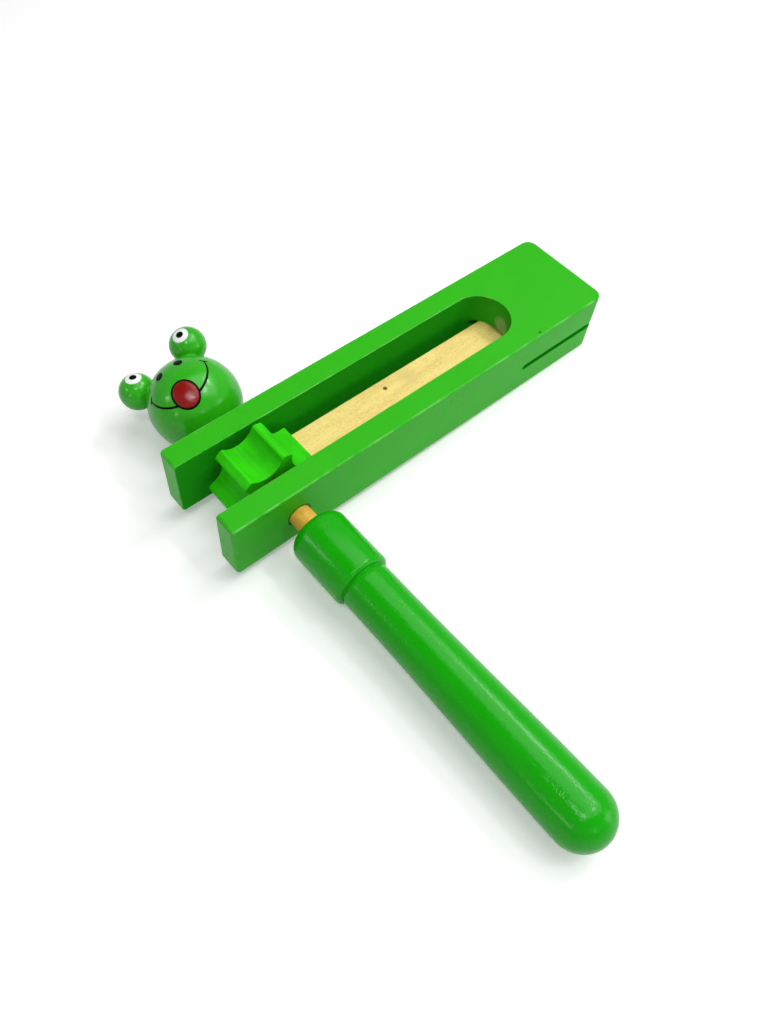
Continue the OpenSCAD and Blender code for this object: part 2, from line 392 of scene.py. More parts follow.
class Pen:
    """Draws an outline as a chain of edges: straight runs extrude its tip, round ones spin it"""

    def __init__(self, bm, start):
        self.bm = bm
        self.tip = bm.verts.new(start)

    def line(self, to):
        run = bmesh.ops.extrude_vert_indiv(self.bm, verts=[self.tip])
        self.tip = run["verts"][0]
        self.tip.co = to

    def arc(self, centre, axis, turn, steps):
        run = bmesh.ops.spin(self.bm, geom=[self.tip], cent=centre, axis=axis, angle=turn, steps=steps)
        self.tip = next(item for item in run["geom_last"] if isinstance(item, bmesh.types.BMVert))


def sharp_edges(bm):
    return [edge for edge in bm.edges if edge.is_manifold and edge.calc_face_angle() > SHARP]


def round_edges(bm, edges, width, segments, wear_and_highlight=1):
    """Rounds edges and marks how thin the paint on the new faces is, and how much painted highlight they get
    """
    worn_and_lit = bm.faces.layers.float.get("edge_wear_and_highlight") or bm.faces.layers.float.new("edge_wear_and_highlight")
    result = bmesh.ops.bevel(
        bm, geom=edges, offset=width, offset_type="OFFSET", segments=segments, profile=0.5,
        affect="EDGES", material=-1, clamp_overlap=True,
    )
    for face in result["faces"]:
        face[worn_and_lit] = wear_and_highlight


def close_up(bm):
    bmesh.ops.remove_doubles(bm, verts=bm.verts, dist=WELD)
    bmesh.ops.dissolve_degenerate(bm, edges=bm.edges, dist=WELD)
    bmesh.ops.recalc_face_normals(bm, faces=bm.faces)


def spin_round(bm, axis, steps):
    """Spins the outline that has been drawn full round an axis through the origin"""
    bmesh.ops.spin(
        bm, geom=bm.verts[:] + bm.edges[:], cent=(0, 0, 0), axis=axis, angle=FULL_TURN, steps=steps,
        use_merge=True,
    )


def turn_solid(bm, steps):
    """Turns the outline that has been drawn into a closed solid round the Y axis"""
    spin_round(bm, Y_AXIS, steps)
    close_up(bm)


def aimed(at, way, axis="Z", up="Y"):
    """A place at a point, turned so that one of its axes lies along a way"""
    return Matrix.Translation(at) @ way.to_track_quat(axis, up).to_matrix().to_4x4()


def box_mesh(low, high):
    """A box between two corners"""
    bm = bmesh.new()
    place = Matrix.Translation((low + high) / 2) @ Matrix.Diagonal((*(high - low), 1))
    bmesh.ops.create_cube(bm, size=1, matrix=place)
    return bm


def pulled_bar(radius, middle, axis, height, pull, segments):
    """A bar along an axis, round at one end, whose other half is pulled along X"""
    bm = bmesh.new()
    bmesh.ops.create_cone(
        bm, cap_ends=True, segments=segments, radius1=radius, radius2=radius, depth=height,
        matrix=aimed(middle, axis),
    )
    moved = [vert for vert in bm.verts if (vert.co.x - middle.x) * pull > -WELD]
    bmesh.ops.translate(bm, verts=moved, vec=X_AXIS * pull)
    return bm


def carve(bm, cutter):
    """Takes the cutter's shape out of a solid"""
    objects = []
    for shape in (bm, cutter):
        mesh = bpy.data.meshes.new("carving")
        shape.to_mesh(mesh)
        objects.append(bpy.data.objects.new("carving", mesh))
        bpy.context.collection.objects.link(objects[-1])
    solid, tool = objects
    cut = solid.modifiers.new("cut", "BOOLEAN")
    cut.operation = "DIFFERENCE"
    cut.solver = "EXACT"
    cut.object = tool
    bm.clear()
    bm.from_object(solid, bpy.context.evaluated_depsgraph_get())
    cutter.free()
    for item in objects:
        bpy.data.meshes.remove(item.data)


def piece(name, bm, material, even_normals=False):
    """Makes a finished object of a mesh, with its place in the mesh"""
    for face in bm.faces:
        face.smooth = True
    mesh = bpy.data.meshes.new(name)
    bm.to_mesh(mesh)
    bm.free()
    mesh.materials.append(material)
    item = bpy.data.objects.new(name, mesh)
    bpy.context.collection.objects.link(item)
    if even_normals:
        item.modifiers.new("even_normals", "WEIGHTED_NORMAL").keep_sharp = True
    return item


# Frame, reed and wheel

def in_block(point):
    """Whether a point lies below the block's outer faces"""
    return all(low + WELD < at < high - WELD for low, at, high in zip(BLOCK_LOW, point, BLOCK_HIGH))


def frame_block_mesh(settings):
    size = BLOCK_HIGH - BLOCK_LOW
    bm = box_mesh(BLOCK_LOW, BLOCK_HIGH)
    tail = [
        edge for edge in bm.edges
        if all(vert.co.x > BLOCK_MIDDLE.x for vert in edge.verts)
        and abs(edge.verts[0].co.z - edge.verts[1].co.z) > WELD
    ]
    round_edges(bm, tail, settings.tail_round, segments=12, wear_and_highlight=0)
    tip = [edge for edge in bm.edges if all(vert.co.x < BLOCK_LOW.x + WELD for vert in edge.verts)]
    round_edges(bm, tip, settings.tip_round, segments=6, wear_and_highlight=settings.tip_wear)
    round_edges(bm, sharp_edges(bm), settings.edge_round, segments=4)

    slot_r = size.y / 2 - settings.prong_t
    slot_end = Vector((REED_PIVOT.x - slot_r, BLOCK_MIDDLE.y, BLOCK_MIDDLE.z))
    carve(bm, pulled_bar(slot_r, slot_end, Z_AXIS, 2 * size.z, -size.x, segments=128))
    round_edges(bm, sharp_edges(bm), settings.slot_edge_round, segments=3)

    cut_r = (REED_HIGH.z - REED_LOW.z) / 2 + settings.cut_gap
    cut_front = Vector((REED_PIVOT.x - settings.cut_lap + cut_r, BLOCK_MIDDLE.y, REED_MIDDLE.z))
    carve(bm, pulled_bar(cut_r, cut_front, Y_AXIS, 2 * size.y, size.x, segments=32))
    round_edges(bm, sharp_edges(bm), settings.cut_edge_round, segments=2)

    hole_r = AXLE_R + settings.hole_gap
    hole = Vector((0, BLOCK_MIDDLE.y, 0))
    carve(bm, pulled_bar(hole_r, hole, Y_AXIS, 2 * size.y, 0, segments=64))
    round_edges(bm, sharp_edges(bm), settings.hole_rim, segments=2)

    # Saw marks dull the paint, and painted shade darkens it: in full in the cut and the holes, less along
    # the slot's walls
    # The tips' end grain drinks the paint, so it shows through there as on an edge
    sawn_and_shaded = bm.faces.layers.float.new("sawn_and_shaded")
    worn_and_lit = bm.faces.layers.float["edge_wear_and_highlight"]
    for face in bm.faces:
        at = face.calc_center_median()
        way = face.normal
        level = abs(at.z - cut_front.z) < cut_r + WELD
        in_cut = abs(way.y) < CUT_WALL and level and at.x > cut_front.x - cut_r
        in_hole = abs(way.y) < HOLE_WALL and math.hypot(at.x, at.z) < hole_r + settings.hole_rim
        in_slot = abs(way.z) < SLOT_WALL and abs(at.y - BLOCK_MIDDLE.y) < slot_r + WELD
        if in_block(at) and (in_cut or in_hole):
            face[sawn_and_shaded] = 1
        elif in_slot:
            face[sawn_and_shaded] = settings.slot_marks * way.y ** 2
        if way.x < -PRONG_END and at.x < BLOCK_LOW.x + settings.tip_round:
            face[worn_and_lit] = settings.end_wear
    return bm


def reed_mesh(settings):
    bm = box_mesh(REED_LOW, REED_HIGH)
    round_edges(bm, sharp_edges(bm), settings.edge_round, segments=3)
    half = (REED_HIGH.x - REED_LOW.x) / 2
    long_edges = [edge for edge in bm.edges if edge.calc_length() > half]
    bmesh.ops.subdivide_edges(bm, edges=long_edges, cuts=60, use_grid_fill=True)
    return bm


def around_axle(radius, turn, along):
    """A point at a distance from the dowel's axis; turns run from +X up to +Z"""
    return Vector((radius * math.cos(turn), along, radius * math.sin(turn)))


def wheel_mesh(settings):
    """A disc with round valleys: each tooth's corners are arcs between the rim and the valleys"""
    pitch = FULL_TURN / settings.teeth
    rim_r = settings.radius
    root_r = rim_r - settings.tooth_depth
    valley_half = pitch / 2 - math.asin(settings.tooth_top / (2 * rim_r))
    valley_at = (rim_r ** 2 - root_r ** 2) / (2 * (rim_r * math.cos(valley_half) - root_r))
    valley_r = valley_at - root_r
    corner_at = rim_r - settings.tooth_round
    corner_reach = valley_r + settings.tooth_round
    corner_half = math.acos(
        (valley_at ** 2 + corner_at ** 2 - corner_reach ** 2) / (2 * valley_at * corner_at)
    )
    dip = math.atan2(corner_at * math.sin(corner_half), valley_at - corner_at * math.cos(corner_half))
    corner_turn = dip + corner_half
    # The reed lies a quarter of a pitch below the tooth over it
    first = math.atan2(REED_MIDDLE.z, REED_LOW.x) + pitch / 4

    bm = bmesh.new()
    near = WHEEL_LOW.y
    up_axis = -Y_AXIS
    middle = Vector((0, near, 0))
    pen = Pen(bm, around_axle(rim_r, first, near))
    for tooth in range(settings.teeth):
        valley = first + (tooth + 0.5) * pitch
        pen.arc(middle, up_axis, pitch / 2 - corner_half, steps=5)
        pen.arc(around_axle(corner_at, valley - corner_half, near), up_axis, corner_turn, steps=6)
        pen.arc(around_axle(valley_at, valley, near), up_axis, -2 * dip, steps=20)
        pen.arc(around_axle(corner_at, valley + corner_half, near), up_axis, corner_turn, steps=6)
        pen.arc(middle, up_axis, pitch / 2 - corner_half, steps=5)
    bore = Matrix.Translation(middle) @ Matrix.Rotation(QUARTER_TURN, 4, X_AXIS)
    bmesh.ops.create_circle(bm, segments=64, radius=AXLE_R, matrix=bore)
    bmesh.ops.remove_doubles(bm, verts=bm.verts, dist=WELD)
    bmesh.ops.triangle_fill(bm, edges=bm.edges[:], use_beauty=True, use_dissolve=False)
    grown = bmesh.ops.extrude_face_region(bm, geom=bm.faces[:])
    far = [item for item in grown["geom"] if isinstance(item, bmesh.types.BMVert)]
    bmesh.ops.translate(bm, verts=far, vec=Y_AXIS * (WHEEL_HIGH.y - near))
    close_up(bm)
    rims = [
        edge for edge in sharp_edges(bm)
        if min(math.hypot(vert.co.x, vert.co.z) for vert in edge.verts) > (AXLE_R + root_r) / 2
    ]
    round_edges(bm, rims, settings.edge_round, segments=3)
    return bm


# Turned pieces: outlines have the radius along X

def axle_mesh(settings):
    bm = bmesh.new()
    end = settings.end_round
    pen = Pen(bm, (0, AXLE_LOW.y, 0))
    pen.line((AXLE_R - end, AXLE_LOW.y, 0))
    pen.arc((AXLE_R - end, AXLE_LOW.y + end, 0), Z_AXIS, QUARTER_TURN, steps=4)
    pen.line((AXLE_R, AXLE_HIGH.y - end, 0))
    pen.arc((AXLE_R - end, AXLE_HIGH.y - end, 0), Z_AXIS, QUARTER_TURN, steps=4)
    pen.line((0, AXLE_HIGH.y, 0))
    turn_solid(bm, steps=64)
    return bm


def handle_mesh(settings):
    bm = bmesh.new()
    front = HANDLE_HIGH.y
    back = -front
    front_round = settings.collar_front_round
    back_round = settings.collar_back_round
    hole_r = AXLE_R + settings.hole_gap
    hole_end = AXLE_LOW.y - settings.hole_relief
    belly_y = HANDLE_LOW.y + settings.belly_r
    groove_r = settings.neck_r - settings.groove

    pen = Pen(bm, (0, hole_end, 0))
    pen.line((hole_r, hole_end, 0))
    pen.line((hole_r, front - settings.hole_rim, 0))
    pen.line((hole_r + settings.hole_rim, front, 0))
    pen.line((COLLAR_R - front_round, front, 0))
    pen.arc((COLLAR_R - front_round, front - front_round, 0), Z_AXIS, -QUARTER_TURN, steps=14)
    pen.line((COLLAR_R, back + back_round, 0))
    pen.arc((COLLAR_R - back_round, back + back_round, 0), Z_AXIS, -QUARTER_TURN, steps=8)
    pen.line((groove_r, back, 0))
    pen.line((groove_r, back - settings.groove, 0))
    steps = 48
    start = back - 2 * settings.groove
    for step in range(steps + 1):
        share = step / steps
        # The swelling starts and ends smoothly
        late = share ** settings.swell_bias
        swell = late * late * (3 - 2 * late)
        radius = settings.neck_r + (settings.belly_r - settings.neck_r) * swell
        pen.line((radius, start + (belly_y - start) * share, 0))
    pen.arc((0, belly_y, 0), Z_AXIS, -QUARTER_TURN, steps=24)
    turn_solid(bm, steps=96)
    return bm


def head_mesh(handle):
    """The ball, with the same blind hole for the dowel as the handle's"""
    bm = bmesh.new()
    hole_r = AXLE_R + handle.hole_gap
    hole_end = AXLE_HIGH.y + handle.hole_relief - HEAD_MIDDLE.y
    rim = math.asin(hole_r / HEAD_R)
    pen = Pen(bm, (0, hole_end, 0))
    pen.line((hole_r, hole_end, 0))
    pen.line((hole_r, -HEAD_R * math.cos(rim), 0))
    pen.arc((0, 0, 0), Z_AXIS, math.pi - rim, steps=72)
    turn_solid(bm, steps=128)
    bmesh.ops.translate(bm, verts=bm.verts, vec=HEAD_MIDDLE)
    return bm


def eye_mesh(settings, middle):
    """An eye ball, with the run of paint that joins it to the head"""
    bm = bmesh.new()
    away = middle - HEAD_MIDDLE
    ball_at = away.length
    seat_r = HEAD_R - settings.fillet_sink
    fillet = settings.eye_fillet
    along = (ball_at ** 2 + (seat_r + fillet) ** 2 - (EYE_R + fillet) ** 2) / (2 * ball_at)
    across = math.sqrt((seat_r + fillet) ** 2 - along ** 2)
    foot = Vector((across, along, 0)) * seat_r / (seat_r + fillet)
    run = math.atan2(across, along) + math.atan2(across, ball_at - along)
    rise = math.atan2(along - ball_at, across)

    pen = Pen(bm, (0, foot.y - settings.eye_foot, 0))
    pen.line((foot.x, foot.y - settings.eye_foot, 0))
    pen.line(foot)
    pen.arc((across, along, 0), Z_AXIS, run - math.pi, steps=8)
    pen.arc((0, ball_at, 0), Z_AXIS, QUARTER_TURN - rise, steps=44)
    turn_solid(bm, steps=96)
    bmesh.ops.transform(bm, matrix=aimed(HEAD_MIDDLE, away, "Y", "Z"), verts=bm.verts)
    return bm


# Painted face

def face_axes(settings):
    """The frog's left, the way up to the eyes and the way the face looks"""
    left = (EYE_MIDDLES["left"] - EYE_MIDDLES["right"]).normalized()
    turned = Matrix.Rotation(settings.turn, 3, Y_AXIS) @ left
    front = turned.cross(Y_AXIS)
    rolled = Matrix.Rotation(settings.roll, 3, front)
    return rolled @ turned, rolled @ Y_AXIS, front


def look(axes, side, rise):
    left, up, front = axes
    level = left * math.sin(side) + front * math.cos(side)
    return level * math.cos(rise) + up * math.sin(rise)


def coat(bm, ball, radius, film, root):
    """Gives a skin that lies on a ball its thickness: proud by film, rooted in the ball"""
    grown = bmesh.ops.extrude_face_region(bm, geom=bm.faces[:])
    sunk = {item for item in grown["geom"] if isinstance(item, bmesh.types.BMVert)}
    for vert in bm.verts:
        reach = radius - root if vert in sunk else radius + film
        vert.co = ball + (vert.co - ball).normalized() * reach
    close_up(bm)


def spot_mesh(ball, radius, toward, up, half_w, half_h, film, root):
    """A round or oval spot of paint on a ball"""
    bm = bmesh.new()
    pen = Pen(bm, (0, 0, 0))
    rings = 10
    for ring in range(1, rings + 1):
        pen.line((ring / rings, 0, 0))
    spin_round(bm, Z_AXIS, steps=64)
    bmesh.ops.remove_doubles(bm, verts=bm.verts, dist=WELD)
    side = up.cross(toward).normalized()
    rise = toward.cross(side)
    for vert in bm.verts:
        flat = side * vert.co.x * half_w + rise * vert.co.y * half_h
        swing = flat.length / radius
        vert.co = ball + (toward * math.cos(swing) + flat.normalized() * math.sin(swing)) * radius
    coat(bm, ball, radius, film, root)
    return bm


def stroke_mesh(axes, path, width, film, root):
    """A painted line on the head: path and width give its place and width from 0 to 1 along it"""
    bm = bmesh.new()
    steps = 40
    bmesh.ops.create_grid(bm, x_segments=steps, y_segments=4, size=0.5)
    small = 0.5 / steps
    for vert in bm.verts:
        share = vert.co.x + 0.5
        here = look(axes, *path(share))
        ahead = look(axes, *path(share + small)) - look(axes, *path(share - small))
        across = here.cross(ahead).normalized()
        vert.co = HEAD_MIDDLE + here * HEAD_R + across * vert.co.y * width(share)
    coat(bm, HEAD_MIDDLE, HEAD_R, film, root)
    return bm


def smile_path(settings, side):
    def path(share):
        turn = settings.smile_from + (settings.smile_to - settings.smile_from) * share
        across = settings.smile_r * math.sin(turn)
        return side * across, settings.smile_rise - settings.smile_r * math.cos(turn)
    return path


def tick_path(settings, side):
    end_side, end_rise = smile_path(settings, side=1)(share=1)

    def path(share):
        reach = settings.tick_half * (2 * share - 1)
        return (
            side * (end_side + reach * math.cos(settings.tick_slope)),
            end_rise - reach * math.sin(settings.tick_slope),
        )
    return path


# Materials

class Recipe:
    """Places nodes in a tree; an input is a value or another node's socket"""

    def __init__(self, tree):
        self.tree = tree

    def add(self, kind, inputs=(), **choices):
        node = self.tree.nodes.new("ShaderNode" + kind)
        for key, value in choices.items():
            setattr(node, key, value)
        for key, value in dict(inputs).items():
            self.feed(node.inputs[key], value)
        return node

    def feed(self, socket, value):
        if isinstance(value, bpy.types.NodeSocket):
            self.tree.links.new(value, socket)
        else:
            socket.default_value = value

    def maths(self, operation, *values):
        return self.add("Math", dict(enumerate(values)), operation=operation).outputs[0]

    def total(self, *parts):
        """The sum of values, each times its share"""
        result = 0
        for value, share in parts:
            result = self.maths("MULTIPLY_ADD", value, share, result)
        return result

    def mix(self, share, first, second):
        # The node has sockets for each kind of data: its colours are inputs 6 and 7 and output 2
        inputs = {0: share, 6: first, 7: second}
        return self.add("Mix", inputs, data_type="RGBA").outputs[2]

    def noise(self, vector, scale, detail, rough=0.5):
        inputs = {"Vector": vector, "Scale": scale, "Detail": detail, "Roughness": rough}
        return self.add("TexNoise", inputs).outputs["Fac"]

    def scale(self, vector, by):
        return self.add("VectorMath", {0: vector, "Scale": by}, operation="SCALE").outputs[0]

    def stretch(self, vector, by):
        return self.add("VectorMath", {0: vector, 1: by}, operation="MULTIPLY").outputs[0]

    def span(self, value, low, high, to_low=0, to_high=1):
        """Takes a value from one span to another, smoothly"""
        inputs = {"Value": value, "From Min": low, "From Max": high, "To Min": to_low, "To Max": to_high}
        return self.add("MapRange", inputs, interpolation_type="SMOOTHSTEP").outputs[0]


def opaque(rgb):
    return (*rgb, 1.0)


def new_group(name, inputs, outputs):
    """A shader node group with named sockets, and the sockets to draw from and to feed"""
    tree = bpy.data.node_groups.new(name, "ShaderNodeTree")
    for label, kind in inputs:
        tree.interface.new_socket(label, in_out="INPUT", socket_type="NodeSocket" + kind)
    for label, kind in outputs:
        tree.interface.new_socket(label, in_out="OUTPUT", socket_type="NodeSocket" + kind)
    recipe = Recipe(tree)
    drawn = tree.nodes.new("NodeGroupInput").outputs
    fed = tree.nodes.new("NodeGroupOutput").inputs
    return recipe, drawn, fed


def paint_film_group():
    """Brushed paint over wood: clouds of tone, grain that shows through, paler edges of thinner paint with a
    painted highlight
    """
    recipe, drawn, fed = new_group(
        "paint_film",
        [("Vector", "Vector"), ("Paint", "Color"), ("Edge Paint And Highlight", "Color"), ("Edge", "Float"),
         ("Sawn And Shaded", "Float"), ("Grain", "Vector"), ("Mottle", "Float"), ("Sheen", "Float")],
        [("Colour", "Color"), ("Roughness", "Float"), ("Height", "Float")],
    )
    place = drawn["Vector"]
    cloud = recipe.noise(place, scale=85, detail=3)
    grain = recipe.noise(recipe.stretch(place, drawn["Grain"]), scale=1, detail=4, rough=0.6)
    wave = recipe.noise(place, scale=560, detail=1)
    peel = recipe.noise(place, scale=2100, detail=2)

    grain_share = 0.6
    both = recipe.total((cloud, 1), (grain, grain_share))
    wander = recipe.maths("SUBTRACT", both, NOISE_MEAN * (1 + grain_share))
    body = recipe.scale(drawn["Paint"], recipe.maths("MULTIPLY_ADD", wander, drawn["Mottle"], 1))
    # Painted shade darkens the paint in the cut, the holes and along the slot's walls
    body = recipe.mix(drawn["Sawn And Shaded"], body, recipe.stretch(body, SAWN_SHADE_TONE))
    patch = recipe.span(recipe.noise(place, scale=260, detail=3), low=0.35, high=0.7)
    # Paler paint on the edges: thinner paint there, and a painted highlight
    worn_and_lit = recipe.maths("MULTIPLY", drawn["Edge"], patch)
    recipe.feed(fed["Colour"], recipe.mix(worn_and_lit, body, drawn["Edge Paint And Highlight"]))

    uneven = recipe.maths("SUBTRACT", recipe.maths("ADD", cloud, peel), 2 * NOISE_MEAN)
    dull = recipe.total((drawn["Sheen"], 1), (drawn["Sawn And Shaded"], 0.6), (uneven, 0.08))
    recipe.feed(fed["Roughness"], dull)
    recipe.feed(fed["Height"], recipe.total((wave, 0.6), (grain, 0.12), (peel, 0.9)))
    return recipe.tree


def wood_fibre_group():
    """Bare wood: soft bands, fine fibres and short dark flecks along the grain, and a fine speckle"""
    recipe, drawn, fed = new_group(
        "wood_fibre",
        [("Vector", "Vector"), ("Pale", "Color"), ("Dark", "Color"), ("Grain", "Vector")],
        [("Colour", "Color"), ("Roughness", "Float"), ("Height", "Float")],
    )
    along = recipe.stretch(drawn["Vector"], drawn["Grain"])
    bands = recipe.noise(along, scale=1, detail=2)
    fibres = recipe.noise(along, scale=5, detail=5, rough=0.65)
    cut_short = recipe.stretch(along, (3, 1, 1))
    flecks = recipe.span(recipe.noise(cut_short, scale=7, detail=2), low=0.56, high=0.74)
    speckle = recipe.noise(drawn["Vector"], scale=1700, detail=3)
    tone = recipe.total((bands, 0.5), (fibres, 0.5), (speckle, 0.5), (flecks, 0.2))
    darkness = recipe.span(tone, low=0.5, high=1.15)
    recipe.feed(fed["Colour"], recipe.mix(darkness, drawn["Pale"], drawn["Dark"]))
    recipe.feed(fed["Roughness"], recipe.span(fibres, low=0.2, high=0.8, to_low=0.5, to_high=0.68))
    recipe.feed(fed["Height"], recipe.total((fibres, 1), (flecks, -0.4)))
    return recipe.tree


def round_spot_group():
    """A round mask with a soft, uneven rim"""
    recipe, drawn, fed = new_group(
        "round_spot",
        [("Vector", "Vector"), ("Centre", "Vector"), ("Radius", "Float"), ("Rim", "Float")],
        [("Mask", "Float")],
    )
    ends = {0: drawn["Vector"], 1: drawn["Centre"]}
    away = recipe.add("VectorMath", ends, operation="DISTANCE").outputs["Value"]
    ragged = recipe.maths("SUBTRACT", recipe.noise(drawn["Vector"], scale=1500, detail=2), NOISE_MEAN)
    away = recipe.maths("MULTIPLY_ADD", ragged, drawn["Rim"], away)
    inner = recipe.maths("SUBTRACT", drawn["Radius"], drawn["Rim"])
    recipe.feed(fed["Mask"], recipe.span(away, inner, drawn["Radius"], to_low=1, to_high=0))
    return recipe.tree


def group(build):
    """The group that a function builds, built once"""
    name = build.__name__.removesuffix("_group")
    return bpy.data.node_groups.get(name) or build()


def new_material(name):
    """A material with a Principled shader, and the rattle's own coordinates"""
    material = bpy.data.materials.new(name)
    material.use_nodes = True
    recipe = Recipe(material.node_tree)
    shader = material.node_tree.nodes["Principled BSDF"]
    place = recipe.add("TexCoord").outputs["Object"]
    return material, recipe, shader, place


def bump(recipe, shader, height, strength, depth):
    inputs = {"Height": height, "Strength": strength, "Distance": depth}
    recipe.feed(shader.inputs["Normal"], recipe.add("Bump", inputs).outputs["Normal"])


def paint_material(name, settings, edge_paint, grain):
    """Painted wood, with the coat of paint that the settings give"""
    material, recipe, shader, place = new_material(name)
    edge = recipe.add("Attribute", attribute_name="edge_wear_and_highlight").outputs["Fac"]
    sawn_and_shaded = recipe.add("Attribute", attribute_name="sawn_and_shaded").outputs["Fac"]
    inputs = {
        "Vector": place, "Paint": opaque(settings.paint), "Edge Paint And Highlight": opaque(edge_paint),
        "Edge": edge, "Sawn And Shaded": sawn_and_shaded, "Grain": grain, "Mottle": settings.mottle, "Sheen": settings.sheen,
    }
    film = recipe.add("Group", inputs, node_tree=group(paint_film_group)).outputs
    recipe.feed(shader.inputs["Base Color"], film["Colour"])
    recipe.feed(shader.inputs["Roughness"], film["Roughness"])
    bump(recipe, shader, film["Height"], strength=1, depth=settings.relief)
    shader.inputs["Specular IOR Level"].default_value = settings.shine
    return material


def wood_material(name, pale, dark, grain):
    material, recipe, shader, place = new_material(name)
    inputs = {"Vector": place, "Pale": opaque(pale), "Dark": opaque(dark), "Grain": grain}
    wood = recipe.add("Group", inputs, node_tree=group(wood_fibre_group)).outputs
    recipe.feed(shader.inputs["Base Color"], wood["Colour"])
    recipe.feed(shader.inputs["Roughness"], wood["Roughness"])
    bump(recipe, shader, wood["Height"], strength=0.25, depth=0.08 * MM)
    return material


def tint(material, rgb, mask):
    """Mixes another colour into a material's base colour, where a mask of the place says so"""
    recipe = Recipe(material.node_tree)
    shader = material.node_tree.nodes["Principled BSDF"]
    base = shader.inputs["Base Color"].links[0].from_socket
    place = next(node for node in material.node_tree.nodes if node.type == "TEX_COORD").outputs["Object"]
    recipe.feed(shader.inputs["Base Color"], recipe.mix(mask(recipe, place), base, opaque(rgb)))


def spot(centre, radius, rim):
    """A mask for a round spot"""
    def mask(recipe, place):
        inputs = {"Vector": place, "Centre": centre, "Radius": radius, "Rim": rim}
        return recipe.add("Group", inputs, node_tree=group(round_spot_group)).outputs["Mask"]
    return mask


def past(along, rim):
    """A mask for what lies past a place along X"""
    def mask(recipe, place):
        x = recipe.add("SeparateXYZ", {"Vector": place}).outputs["X"]
        return recipe.span(x, along - rim, along)
    return mask


def lines_along(axis, along, across):
    """Noise scales that draw a pattern out along one axis"""
    return tuple(along if item == axis else across for item in "XYZ")


# Operators

class RATTLE_OT_frame_block(Operator):
    """Build the slotted frame with its saw cut and the dowel's holes"""
    bl_idname = "rattle.frame_block"
    bl_label = "Frame block"

    def execute(self, context):
        settings = context.scene.rattle_frame
        grain = lines_along("X", along=45, across=700)
        paint = paint_material("frame_paint", settings, settings.edge_paint, grain)
        nick = Vector((REED_PIVOT.x + settings.nick_past, BLOCK_LOW.y + settings.nick_in, BLOCK_HIGH.z))
        # Painted shade where the small nick dents the top's edge
        tint(paint, settings.nick, spot(nick, settings.nick_r, settings.nick_rim))
        # Painted reflection of the reed on the slot's end wall, above its root
        smear = REED_PIVOT + Vector((0, settings.smear_side, settings.smear_rise))
        tint(paint, settings.glue, spot(smear, settings.smear_r, settings.smear_rim))
        # Painted shade in the gap round the dowel's holes, on both sides of the block
        hole_shade_r = AXLE_R + settings.grime_w
        for side in (BLOCK_LOW.y, BLOCK_HIGH.y):
            tint(paint, settings.grime, spot(Y_AXIS * side, hole_shade_r, settings.grime_rim))
        block = piece("frame_body", frame_block_mesh(settings), paint, even_normals=True)
        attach(block, "frame")
        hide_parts("frame_block")
        return {"FINISHED"}


class RATTLE_OT_reed(Operator):
    """Build the wooden reed, which bends at the slot's end"""
    bl_idname = "rattle.reed"
    bl_label = "Reed"

    def execute(self, context):
        settings = context.scene.rattle_reed
        grain = lines_along("X", along=60, across=420)
        wood = wood_material("reed_wood", settings.pale, settings.dark, grain)
        knot = Vector((settings.knot_along, settings.knot_across, REED_HIGH.z))
        smudge = Vector((settings.smudge_along, settings.smudge_across, REED_HIGH.z))
        tint(wood, settings.smudge, spot(smudge, settings.smudge_r, settings.smudge_r))
        tint(wood, settings.knot, spot(knot, settings.knot_r, settings.knot_rim))
        # Glue stain and painted shade on the reed where it goes into the block
        tint(wood, settings.root, past(REED_PIVOT.x, settings.root_rim))
        slat = piece("reed_slat", reed_mesh(settings), wood, even_normals=True)
        start = REED_PIVOT - X_AXIS * settings.bend_from
        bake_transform(slat, "frame", "reed", start=start, end=start - X_AXIS * settings.bend_over)
        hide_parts("reed")
        return {"FINISHED"}


class RATTLE_OT_wheel(Operator):
    """Build the lobed ratchet wheel"""
    bl_idname = "rattle.wheel"
    bl_label = "Ratchet wheel"

    def execute(self, context):
        settings = context.scene.rattle_wheel
        grain = lines_along("Y", along=60, across=800)
        paint = paint_material("wheel_paint", settings, settings.edge_paint, grain)
        wheel = piece("lobed_wheel", wheel_mesh(settings), paint, even_normals=True)
        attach(wheel, "handle")
        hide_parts("ratchet_wheel")
        return {"FINISHED"}


class RATTLE_OT_dowels(Operator):
    """Build the axle dowel, and give the eyes' pegs the same wood"""
    bl_idname = "rattle.dowels"
    bl_label = "Dowel and pegs"

    def execute(self, context):
        settings = context.scene.rattle_dowel
        grain = lines_along("Y", along=70, across=700)
        wood = wood_material("dowel_wood", settings.pale, settings.dark, grain)
        dowel = piece("axle_dowel", axle_mesh(settings), wood)
        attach(dowel, "handle")
        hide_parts("axle")
        for side in EYE_MIDDLES:
            peg = frame["nodes"]["eye_peg_" + side]
            peg.data.materials.clear()
            peg.data.materials.append(wood)
        return {"FINISHED"}


class RATTLE_OT_handle(Operator):
    """Build the turned handle with its collar"""
    bl_idname = "rattle.handle"
    bl_label = "Handle"

    def execute(self, context):
        settings = context.scene.rattle_handle
        grain = lines_along("Y", along=40, across=500)
        paint = paint_material("handle_paint", settings, settings.edge_paint, grain)
        handle = piece("turned_handle", handle_mesh(settings), paint)
        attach(handle, "handle")
        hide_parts("handle")
        return {"FINISHED"}


class RATTLE_OT_head(Operator):
    """Build the head ball and the two eye balls"""
    bl_idname = "rattle.head"
    bl_label = "Head and eyes"

    def execute(self, context):
        settings = context.scene.rattle_head
        grain = lines_along("Y", along=120, across=500)
        paint = paint_material("head_paint", settings, settings.edge_paint, grain)
        ball = piece("head_ball", head_mesh(context.scene.rattle_handle), paint)
        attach(ball, "handle")
        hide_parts("head")
        for side, middle in EYE_MIDDLES.items():
            eye = piece("eye_ball_" + side, eye_mesh(settings, middle), paint)
            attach(eye, "handle")
            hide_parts("eye_" + side)
        return {"FINISHED"}


